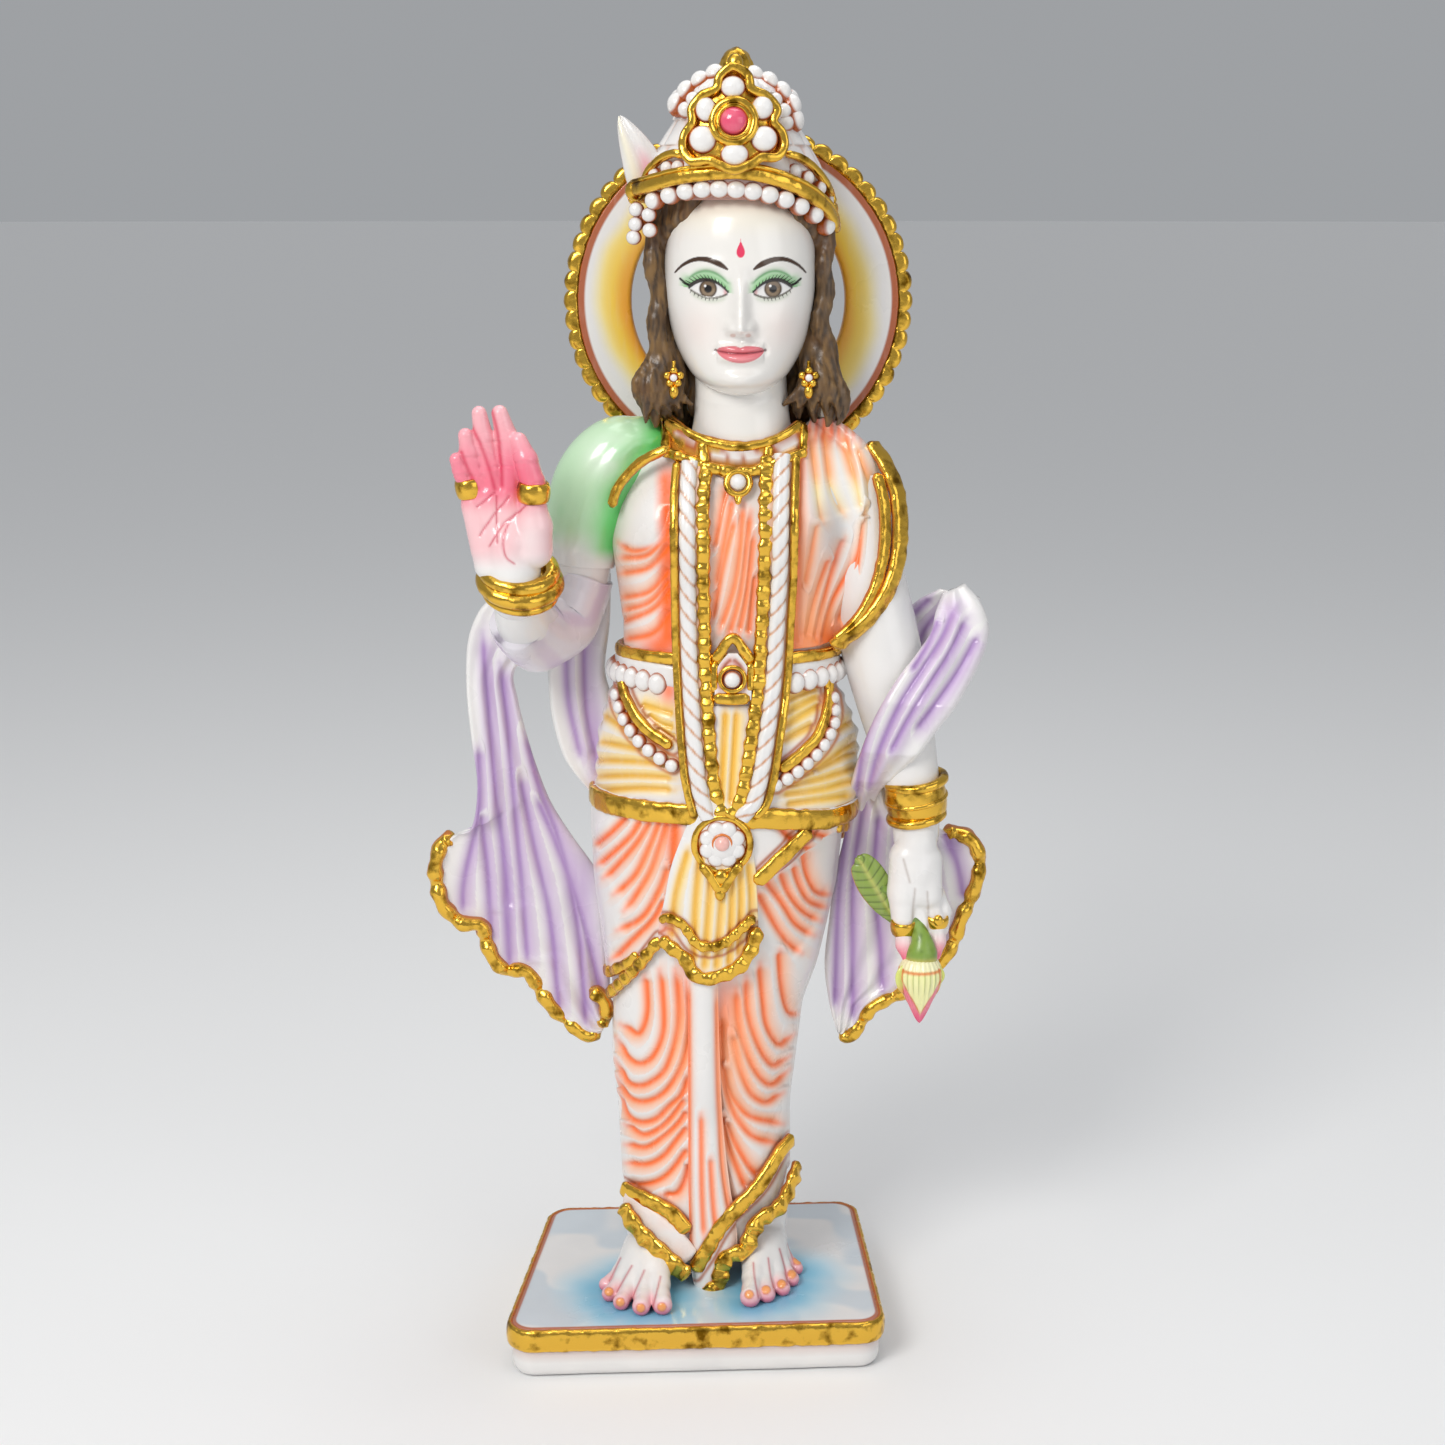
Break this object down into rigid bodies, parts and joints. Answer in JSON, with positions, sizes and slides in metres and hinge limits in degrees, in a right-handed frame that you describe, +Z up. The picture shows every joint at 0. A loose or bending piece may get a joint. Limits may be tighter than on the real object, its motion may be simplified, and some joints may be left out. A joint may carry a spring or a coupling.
{
  "type": "hindu deity statue",
  "caption": "Standing carved stone deity on a plinth, right hand raised in blessing, left hand holding a lotus bud, with robes, shawl, garland, crown and round halo, painted and gilded.",
  "frame": {"origin": "centre of the underside of the plinth", "axes": "+Z up through the figure, -Y the way the figure faces, +X the figure's left-hand side"},
  "size_m": [0.1666, 0.0943, 0.3813],
  "materials": {
    "white_marble": "gloss",
    "gold_leaf": "gloss",
    "painted_foot": "gloss",
    "saffron_robe": "gloss",
    "yellow_wrap": "gloss",
    "pearl_white": "gloss",
    "green_sleeve": "gloss",
    "painted_face": "gloss",
    "brown_hair": "satin",
    "pink_gem": "gloss",
    "halo_paint": "gloss",
    "pink_hand": "gloss",
    "lotus_petal": "gloss",
    "lotus_green": "gloss",
    "lilac_shawl": "gloss"
  },
  "bodies": {
    "root": {"plinth_block": "white_marble", "plinth_gilt_band": "gold_leaf", "right_foot": "painted_foot", "left_foot": "painted_foot", "skirt_lower": "saffron_robe", "skirt_front_pleat": "white_marble", "skirt_hem_right": "gold_leaf", "skirt_hem_left": "gold_leaf", "skirt_upper": "saffron_robe", "skirt_upper_edge": "gold_leaf", "hip_wrap": "yellow_wrap", "hip_gilt_band": "gold_leaf", "sash_tail": "yellow_wrap", "sash_tail_hem": "gold_leaf", "waist_belt": "gold_leaf", "belt_lace": "white_marble", "belt_clasp": "gold_leaf", "hip_swags": "gold_leaf", "hip_pearls": "pearl_white", "bodice": "saffron_robe", "shoulder_drape": "saffron_robe", "drape_gilt_edge": "gold_leaf", "sleeve": "green_sleeve", "sleeve_gilt_edge": "gold_leaf", "collar": "gold_leaf", "pendant": "gold_leaf", "garland_rope": "white_marble", "garland_borders": "gold_leaf", "medallion": "white_marble", "medallion_frame": "gold_leaf", "head": "painted_face", "hair": "brown_hair", "earring": "gold_leaf", "crown_cap": "white_marble", "crown_band": "gold_leaf", "brow_pearls_row": "pearl_white", "plaque_frame": "gold_leaf", "plaque_pearls": "pearl_white", "plaque_bezel": "gold_leaf", "plaque_gem": "pink_gem", "crown_petals": "pearl_white", "crown_finial": "gold_leaf", "crown_feather": "white_marble", "crown_crescents": "gold_leaf", "halo_ring": "halo_paint", "halo_rim": "gold_leaf", "right_arm": "white_marble", "right_hand": "pink_hand", "right_bangle": "gold_leaf", "left_arm": "white_marble", "left_hand": "pink_hand", "left_bangle": "gold_leaf", "hand_rings": "gold_leaf", "lotus_bud": "lotus_petal", "lotus_stem": "lotus_green", "lotus_leaf": "lotus_green", "shawl_right": "lilac_shawl", "shawl_right_hem": "gold_leaf", "shawl_left": "lilac_shawl", "shawl_left_hem": "gold_leaf"}
  },
  "joints": []
}
